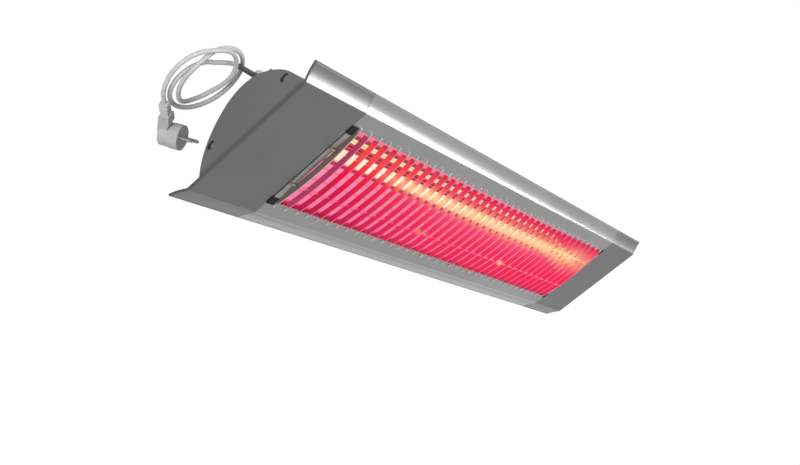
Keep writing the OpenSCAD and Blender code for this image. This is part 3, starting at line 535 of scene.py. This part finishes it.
finishes["extrusion"] = anodised()
finishes["cap_grey"] = painted_cap()
for slot, dark, light, roughness, metallic in [
    ("black_seal", grey(0.012), (0.022, 0.022, 0.023), 0.7, 0.0),
    ("grey_seal", grey(0.13), grey(0.16), 0.6, 0.0),
    ("black_steel", grey(0.34), grey(0.42), 0.36, 0.7),
    # Painted shade: the sleeve's dark grey stands for the shadow on the cord's first stretch.
    ("sleeve_grey", grey(0.09), grey(0.13), 0.3, 0.0),
    ("gland_grey", (0.72, 0.73, 0.73), (0.80, 0.81, 0.81), 0.45, 0.0),
    ("pin_metal", (0.40, 0.39, 0.37), (0.50, 0.49, 0.47), 0.32, 1.0),
    ("bright_steel", (0.50, 0.49, 0.47), (0.62, 0.61, 0.59), 0.3, 1.0),
    ("zinc_steel", (0.42, 0.43, 0.43), (0.52, 0.53, 0.53), 0.42, 0.7),
    ("ceramic", (0.72, 0.69, 0.62), (0.80, 0.78, 0.71), 0.5, 0.0),
    ("wire_sleeve", (0.60, 0.55, 0.46), (0.72, 0.68, 0.6), 0.7, 0.0),
    ("white_plastic", (0.74, 0.74, 0.71), (0.80, 0.80, 0.78), 0.4, 0.0),
    ("brass_parts", (0.52, 0.38, 0.16), (0.68, 0.54, 0.28), 0.3, 1.0),
    ("friction_pad", (0.10, 0.06, 0.035), (0.16, 0.1, 0.06), 0.8, 0.0),
    ("cord_sheath", (0.80, 0.80, 0.795), (0.86, 0.86, 0.855), 0.4, 0.0),
    ("plug_plastic", grey(0.72), grey(0.79), 0.36, 0.0),
]:
    finishes[slot] = small_part(slot, dark, light, roughness, metallic)
finishes["black_plastic"] = small_part("black_plastic", grey(0.008), grey(0.016), 0.55,
                                       Specular_IOR_Level=0.25)
print(len(finishes), "plain finishes")

# %% [markdown]
# ## The glow
#
# The lamp is a ruby tube round a carbon filament, and everything near it is lit red. Light of
# this kind could be traced from the filament, but the mirror trough would need far more samples
# than a picture can spend. So each surface emits what it would show, by its place on the part:
# the glow stays there when the head tilts, and is there from every side.

# %% The lamp's glass and filament
unlit = grey(0.0)
lamp_z, lamp_r = 0.104, 0.009


def glowing_tube():
    """Cream, with a slow ripple along it, orange at its ends and dark red round one side."""
    finish = Finish("ruby_tube", (0.5, 0.04, 0.05), 0.12, Emission_Strength=1.0)
    where = finish.place()
    x, y, z = finish.axes(where, "XYZ")
    ends = abs(x).ramp(0.40, 0.46)
    ripple = finish.noise(where, 16.0, 2.0, (1.0, 0.2, 0.2))
    hot = finish.colours((0.5 + ripple * 0.4 - ends).clamped(), [
        (0.0, (0.30, 0.01, 0.02)), (0.25, (0.95, 0.28, 0.08)), (0.5, (1.0, 0.78, 0.50)),
        (0.8, (1.0, 0.86, 0.62))])
    to_side = (y * 0.832 - (z - lamp_z) * 0.555) / lamp_r
    glass = finish.mix(to_side.ramp(0.15, 0.45), hot, (0.16, 0.004, 0.02))
    finish.set("Emission Color", glass)
    return finish.material


def filament():
    finish = Finish("carbon_filament", (0.1, 0.08, 0.06), 0.7, Emission_Strength=1.0)
    weave = finish.noise(finish.place(), 300.0, 2.0)
    finish.set("Emission Color", finish.colours(weave, [
        (0.3, (1.0, 0.7, 0.3)), (0.7, (1.0, 0.95, 0.8))]))
    return finish.material


# %% [markdown]
# The trough behind the lamp is folded from flat strips, and each shows another part of the glow:
# pink at first, then a dark one, cream on both sides of a dark line, and dim ones last. So its
# ramp is written as strips, each with its start and end across the trough and a colour at both.

# %% The mirror trough
trough_half = 0.071
strips_a_side = 6
rail_edge = (-0.4515, -0.4495)


def mirror():
    finish = Finish("mirror_trough", (0.45, 0.20, 0.23), 0.25, 0.85, Emission_Strength=1.0,
                    Specular_IOR_Level=0.1)
    where = finish.place()
    x, y = finish.axes(where, "XY")
    streaks = finish.noise(where, 40.0, 3.0, (0.12, 1.0, 1.0))
    across = ((y + trough_half) / (2 * trough_half) + (streaks - 0.5) * 0.016).clamped()
    strips = [
        (0.0, 0.012, (0.20, 0.002, 0.02), (0.50, 0.02, 0.08)),
        (0.028, 0.29, (0.94, 0.20, 0.38), (1.0, 0.25, 0.42)),
        (0.305, 0.325, (0.40, 0.012, 0.06), (0.40, 0.012, 0.06)),
        (0.335, 0.47, (1.0, 0.80, 0.58), (1.0, 0.80, 0.58)),
        (0.48, 0.51, (0.10, 0.002, 0.008), (0.10, 0.002, 0.008)),
        (0.52, 0.545, (0.66, 0.03, 0.07), (0.66, 0.03, 0.07)),
        (0.555, 0.612, (1.0, 0.74, 0.42), (1.0, 0.66, 0.40)),
        (0.625, 0.68, (0.22, 0.004, 0.015), (0.28, 0.004, 0.018)),
        (0.715, 1.0, (0.64, 0.13, 0.25), (0.50, 0.08, 0.18))]
    near = finish.colours(across, [
        stop for start, end, first, last in strips for stop in ((start, first), (end, last))])
    far = finish.mix((streaks * 1.4 - 0.2).clamped(), (0.96, 0.20, 0.36), (0.80, 0.06, 0.16))
    below = y.band(-0.0695, -0.066, -0.030, -0.026)
    lit = finish.mix(x.ramp(-0.30, 0.10) * below * 0.7, near, far)
    phase = (abs(y) * (strips_a_side / trough_half)).math("FRACT")
    folds = 1 - phase.band(0.02, 0.10, 0.90, 0.98)
    lit = finish.mix(folds * 0.45, lit, (0.45, 0.01, 0.06))
    inside = x.ramp(*rail_edge)
    finish.set("Emission Color", finish.mix(inside, unlit, lit))
    finish.set("Base Color", finish.mix(inside, (0.10, 0.09, 0.085), (0.05, 0.008, 0.014)))
    finish.set("Metallic", 0.85 - inside * 0.75)
    finish.set("Roughness", 0.2 + streaks * 0.14)
    return finish.material


# %% [markdown]
# A blade's face is crimson on the left and rose on the right, darkest at the lower end, and the
# lamp's light crosses all of them as one yellow line. The first blade at the left is out of the
# light and the second gets little of it. A rod between two blades shows what lies behind it, and
# in front of a blade it shows that blade, so both finishes ask the same function.

# %% The light on a blade's face
blade_count = 37
blade_x0 = -0.451
blade_step = -2 * blade_x0 / (blade_count - 1)
face_half = 0.072
yellow_y = 0.0305
glint_places, glint_y, glint_size = (-0.116, 0.177), -0.034, (0.010, 0.004)
second_face = (0.36, 0.038, 0.11)


def bell(squared):
    """1 where a squared distance is 0, and almost nothing from 4 on."""
    return (-squared).math("EXPONENT")


def past_blade(x, number):
    """0 up to the blade of this number, the first being 0, and 1 from the next one on."""
    middle = blade_x0 + (number + 0.5) * blade_step
    return x.ramp(middle - 0.003, middle + 0.003)


def lit_face(finish, wash, x, y):
    """The red of a blade's face, with the lamp's yellow line across it and two small glints."""
    across = ((y + face_half) / (2 * face_half) + (wash - 0.5) * 0.10).clamped()
    left = finish.colours(across, [
        (0.0, (0.36, 0.003, 0.045)), (0.15, (0.46, 0.008, 0.06)), (0.4, (0.58, 0.006, 0.045)),
        (0.6, (0.78, 0.006, 0.035)), (0.8, (0.86, 0.07, 0.06)), (0.93, (0.80, 0.05, 0.06)),
        (1.0, (0.46, 0.008, 0.05))])
    right = finish.colours(across, [
        (0.0, (0.60, 0.015, 0.07)), (0.1, (0.78, 0.018, 0.09)), (0.35, (0.82, 0.016, 0.085)),
        (0.55, (0.82, 0.040, 0.13)), (0.8, (0.80, 0.05, 0.11)), (0.93, (0.78, 0.018, 0.08)),
        (1.0, (0.50, 0.010, 0.06))])
    red = finish.mix(x.ramp(-0.45, -0.05), left, right)
    width = 0.0085 + 0.0050 * x.ramp(-0.4, 0.1) + 0.006 * x.ramp(0.3, 0.42)
    spread = (y - yellow_y) / width
    glow = bell(spread * spread) * x.ramp(-0.36, -0.22) * (1 - 0.6 * x.ramp(0.36, 0.44))
    glow = glow * (0.86 + 0.28 * wash)
    for glint_x in glint_places:
        dx, dy = (x - glint_x) / glint_size[0], (y - glint_y) / glint_size[1]
        glow = glow.math("MAXIMUM", bell(dx * dx + dy * dy))
    return finish.mix(glow.clamped(), red, (0.96, 0.62, 0.27))


# %% The blades' faces and edges
def blade_faces():
    """Lit inside the opening, and bare steel at the tips that rest on the front plate."""
    base = (0.07, 0.012, 0.02)
    finish = Finish("blade_face", base, 0.4, 0.5, Emission_Strength=1.0)
    where = finish.place()
    x, y = finish.axes(where, "XY")
    wash = finish.noise(where, 30.0, 2.0)
    lit = finish.mix(past_blade(x, 1), second_face, lit_face(finish, wash, x, y))
    lit = finish.mix(past_blade(x, 0), (0.10, 0.085, 0.075), lit)
    tip = abs(y).ramp(0.0690, 0.0705)
    finish.set("Emission Color", finish.mix(tip, lit, unlit))
    finish.set("Base Color", finish.mix(tip, base, (0.62, 0.62, 0.61)))
    finish.set("Roughness", 0.32 + wash * 0.16)
    return finish.material


def blade_edges():
    """Pale where the room lights them at the tips and the first blade, and pink over the glow."""
    pale = (0.70, 0.66, 0.66)
    finish = Finish("blade_edge", pale, 0.3, 0.6, Emission_Strength=1.0)
    where = finish.place()
    x, y = finish.axes(where, "XY")
    glint = finish.noise(where, 90.0, 2.0)
    inside = (1 - abs(y).ramp(0.066, 0.0725)) * past_blade(x, 0)
    pink = finish.mix(glint, (0.50, 0.03, 0.07), (0.74, 0.16, 0.24))
    finish.set("Emission Color", finish.mix(inside, unlit, pink))
    finish.set("Base Color", finish.mix(inside, pale, (0.36, 0.10, 0.14)))
    return finish.material


# %% The grille's rods
def glowing_rod():
    """Bare steel at its ends, and inside the glow the colour of what is behind it."""
    steel = (0.12, 0.11, 0.105)
    finish = Finish("grille_rod", steel, 0.4, 0.5, Emission_Strength=1.0)
    where = finish.place()
    x, y = finish.axes(where, "XY")
    wash = finish.noise(where, 60.0, 2.0, (0.3, 1.0, 1.0))
    pink = finish.mix(wash, (0.80, 0.06, 0.15), (0.92, 0.14, 0.26))
    trough = finish.mix(y > 0, pink, (1.0, 0.78, 0.54))
    face = finish.mix(x.ramp(-0.4262, -0.4250), second_face, lit_face(finish, wash, x, y))
    before_blade = ((x - blade_x0) / blade_step).math("FRACT").ramp(0.62, 0.70)
    lit = finish.mix(before_blade, trough, face)
    lit = finish.mix(x.ramp(-0.05, 0.15) * (y < 0) * 0.25, lit, (1.0, 0.30, 0.34))
    inside = x.band(-0.4506, -0.4502, 0.449, 0.451)
    finish.set("Emission Color", finish.mix(inside, unlit, lit))
    ends = finish.mix(abs(x).ramp(0.4570, 0.4590), steel, (0.27, 0.26, 0.25))
    finish.set("Base Color", finish.mix(inside, ends, (0.10, 0.02, 0.03)))
    finish.set("Roughness", 0.35 + wash * 0.15)
    return finish.material


finishes["ruby_glass"] = glowing_tube()
finishes["carbon"] = filament()
finishes["mirror_alu"] = mirror()
finishes["hot_steel"] = blade_faces()
edge_finish = blade_edges()
rod_finish = glowing_rod()
print(len(finishes) + 2, "finishes in all")

# %% [markdown]
# ## The grille's blades
#
# Thirty-seven bowed blades of one shape stand across the opening at an even step. That is a rule,
# so Geometry Nodes makes them: one blade is modelled, and the tree repeats it along a line. The
# front edge of the blade has a finish of its own, for it catches the room's light as a thin pale
# line, so its faces are marked by an attribute that the tree can read.

# %% One blade
front_z = 0.168
blade_rise, tip_rise, blade_deep, blade_half = 0.0085, 0.003, 0.008, 0.077
bow = (blade_half ** 2 + (blade_rise - tip_rise) ** 2) / (2 * (blade_rise - tip_rise))
shoulder, tip_gap = 0.0695, 0.0003
half_thick, chamfer = 0.0008, 0.0003
half_stations = 16
ring = 6


def blade_piece():
    """A closed strip with a chamfered front edge. Face attribute front marks that edge."""
    t, soft = half_thick, chamfer
    stations = sorted({i * blade_half / half_stations
                       for i in range(-half_stations, half_stations + 1)} | {-shoulder, shoulder})
    last = len(stations) - 1
    points, faces = [], []
    for y in stations:
        sag = bow - math.sqrt(bow ** 2 - y ** 2)
        top = front_z + blade_rise - sag
        low = top - blade_deep if abs(y) < shoulder else front_z + tip_gap
        points += [(t, y, low), (t, y, top - soft), (t - soft, y, top),
                   (soft - t, y, top), (-t, y, top - soft), (-t, y, low)]
    for i in range(last):
        for k in range(ring):
            a, b = ring * i + k, ring * i + (k + 1) % ring
            faces.append((a, a + ring, b + ring, b))
    faces.append(tuple(range(ring)))
    faces.append(tuple(ring * last + k for k in range(ring))[::-1])
    piece = new_piece("grille_blades_soft", points, faces, smooth=False)
    front = piece.data.attributes.new("front", "BOOLEAN", "FACE")
    for i in range(len(faces)):
        front.data[i].value = i < ring * last and i % ring in (1, 2, 3)
    return piece


blades = blade_piece()
print("one blade has", len(blades.data.polygons), "faces")

# %% The tree that repeats a blade
def repeat_tree():
    tree = bpy.data.node_groups.new("row_of_blades", "GeometryNodeTree")
    tree.interface.new_socket("Geometry", in_out="INPUT", socket_type="NodeSocketGeometry")
    for name, kind in [("Count", "Int"), ("First", "Vector"), ("Step", "Vector"),
                       ("Face", "Material"), ("Edge", "Material")]:
        tree.interface.new_socket(name, in_out="INPUT", socket_type="NodeSocket" + kind)
    tree.interface.new_socket("Geometry", in_out="OUTPUT", socket_type="NodeSocketGeometry")

    def add(kind, settings, inputs):
        return add_node(tree, kind, settings, inputs).outputs

    group = add("NodeGroupInput", {}, {})
    line = add("GeometryNodeMeshLine", {}, {
        "Count": group["Count"], "Start Location": group["First"], "Offset": group["Step"]})
    copies = add("GeometryNodeInstanceOnPoints", {}, {
        "Points": line[0], "Instance": group["Geometry"]})
    real = add("GeometryNodeRealizeInstances", {}, {"Geometry": copies[0]})
    faced = add("GeometryNodeSetMaterial", {}, {"Geometry": real[0], "Material": group["Face"]})
    front = add("GeometryNodeInputNamedAttribute", {"data_type": "BOOLEAN"}, {"Name": "front"})
    edged = add("GeometryNodeSetMaterial", {}, {
        "Geometry": faced[0], "Selection": front[0], "Material": group["Edge"]})
    add("NodeGroupOutput", {}, {"Geometry": edged[0]})
    return tree


def settle(piece, tree, values):
    """Runs a tree on a piece with the given inputs, and keeps the result as a plain mesh."""
    modifier = piece.modifiers.new("row", "NODES")
    modifier.node_group = tree
    for item in tree.interface.items_tree:
        if item.item_type == "SOCKET" and item.in_out == "INPUT" and item.name in values:
            modifier[item.identifier] = values[item.name]
    graph = bpy.context.evaluated_depsgraph_get()
    mesh = bpy.data.meshes.new_from_object(piece.evaluated_get(graph), depsgraph=graph)
    piece.modifiers.remove(modifier)
    piece.data = mesh
    print(piece.name, "has", len(mesh.polygons), "faces")


settle(blades, repeat_tree(), {"Count": blade_count, "First": (blade_x0, 0, 0),
                               "Step": (blade_step, 0, 0), "Face": finishes["hot_steel"],
                               "Edge": edge_finish})
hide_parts("grille_blades")
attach(blades, "head")

# %% [markdown]
# ## Every other part
#
# The remaining CAD parts already have the right shape. Those with visible moulded or cast edges
# are rounded as the plug was, and each part takes the finish of its own material slot, but for
# a few whose tone in the photograph is another.

# %% Rounded parts
softened = {"end_cap_left": 0.0006, "end_cap_right": 0.0006, "terminal_box": 0.0012,
            "terminal_lid": 0.001, "grille_clips": 0.0004, "gland_nut": 0.0008,
            "saddle_left": 0.0005, "saddle_right": 0.0005}
body_of = {member: body
           for body, members in frame["record"]["behaviour"]["bodies"].items()
           for member in members}
rounded = []
for node, width in softened.items():
    piece = replace_softened(node, width)
    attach(piece, body_of[node])
    rounded.append(piece)
print(len(rounded), "rounded parts")

# %% Finishes for all parts
look_of = {part["node"]: part["material_slot"] for part in frame["record"]["subparts"]}
look_of.update(end_gasket_left="grey_seal", end_gasket_right="grey_seal",
               gland_nut="gland_grey", gland_body="gland_grey", plug_pins="pin_metal")
looks = {cord: "cord_sheath", sleeve: "sleeve_grey"}
for piece in plug_parts + rounded:
    looks[piece] = look_of[piece.name.removesuffix("_soft")]
for piece, look in looks.items():
    piece.data.materials.clear()
    piece.data.materials.append(finishes[look])
for name, thing in nodes.items():
    for slot in thing.material_slots:
        slot.material = rod_finish if name == "grille_rods" else finishes[look_of[name]]
print("finishes on", len(nodes), "nodes and", len(looks), "new pieces")

# %% [markdown]
# ## The floor
#
# The heater lies face up on a pale surface that fills the view. To the camera the surface is
# nearly white by its own colour, so no more light than a plain level has to fall on the heater,
# and the share that stays plain keeps a faint shadow. Metal sees it as a calm middle grey.

# %% The floor
floor_corners = [(-15, -15, 0), (15, -15, 0), (15, 15, 0), (-15, 15, 0)]
own_share = 0.88


def pale_floor():
    finish = Finish("pale_floor", grey(0.9), 0.9)
    ray = add_node(finish.tree, "ShaderNodeLightPath", {}, {}).outputs
    direct, mirrored = (Value(finish, ray[name]) for name in ("Is Camera Ray", "Is Glossy Ray"))
    plain = finish.add("BsdfDiffuse", {}, {"Color": grey(0.55)})
    white = finish.add("Emission", {}, {"Color": grey(1.0), "Strength": 1.12})
    middle = finish.add("Emission", {}, {"Color": grey(0.52), "Strength": 1.0})
    both = finish.add("MixShader", {}, {0: direct * own_share, 1: plain, 2: white})
    both = finish.add("MixShader", {}, {0: mirrored * own_share, 1: both, 2: middle})
    connect(finish.tree, finish.tree.nodes["Material Output"].inputs["Surface"], both)
    return finish.material


floor = new_piece("floor", floor_corners, [(0, 1, 2, 3)])
floor.data.materials.append(pale_floor())

# %% [markdown]
# ## The lamps and the room
#
# Two long lamps stand beyond the far end where the upper wing mirrors them, and draw its white
# band: one for the housing and one for the near cap. Their slope sets how the band narrows on
# its way along the wing. A low lamp lights the other wing, a wide one hangs overhead, and one
# stands low beside the near end for the cord, the plug and the cap.

# %% The lamps
def lamp_at(name, place, target, long_way, size, power):
    """A rectangular lamp that faces its target, with its second side along long_way."""
    data = bpy.data.lights.new(name, "AREA")
    data.shape = "RECTANGLE"
    data.size, data.size_y = size
    data.energy = power
    lamp = add_object(name, data)
    back = (Vector(place) - Vector(target)).normalized()
    across = Vector(long_way).cross(back).normalized()
    stand(lamp, place, across, back.cross(across), back)
    lamp.visible_camera = False


slope = (0, 0.525, 0.851)
upright = (0, 0, 1)
lamp_at("wing_band", (3.5, 1.555, 1.850), (2.5, 1.555, 1.850), slope, (0.27, 2.1), 26)
lamp_at("cap_band", (3.5, 2.02, 2.69), (2.5, 2.02, 2.69), slope, (0.44, 0.7), 21)
lamp_at("low_side", (3.5, -2.3, 0.75), (2.5, -2.3, 0.75), upright, (2.8, 1.1), 3)
lamp_at("overhead", (-0.4, 2.1, 2.7), (-0.1, 0, 0.1), (1, 0, 0), (3.0, 3.0), 72)
lamp_at("near_side", (-3.2, 0.2, 0.9), (-0.5, 0, 0.05), upright, (1.4, 1.0), 30)
print(len(bpy.data.lights), "lamps")

# %% The room
world = bpy.data.worlds.new("room")
world.use_nodes = True
room = world.node_tree


def room_node(kind, inputs):
    return add_node(room, "ShaderNode" + kind, {}, inputs).outputs


mirrored, soft, seen = (room_node("Background", {"Color": grey(level)})[0]
                        for level in (0.5, 0.3, 1.0))
ray = room_node("LightPath", {})
lit = room_node("MixShader", {0: ray["Is Diffuse Ray"], 1: mirrored, 2: soft})[0]
lit = room_node("MixShader", {0: ray["Is Camera Ray"], 1: lit, 2: seen})[0]
connect(room, room.nodes["World Output"].inputs["Surface"], lit)
bpy.context.scene.world = world
bpy.context.scene.view_settings.view_transform = "Standard"
print("room of", len(room.nodes), "nodes")
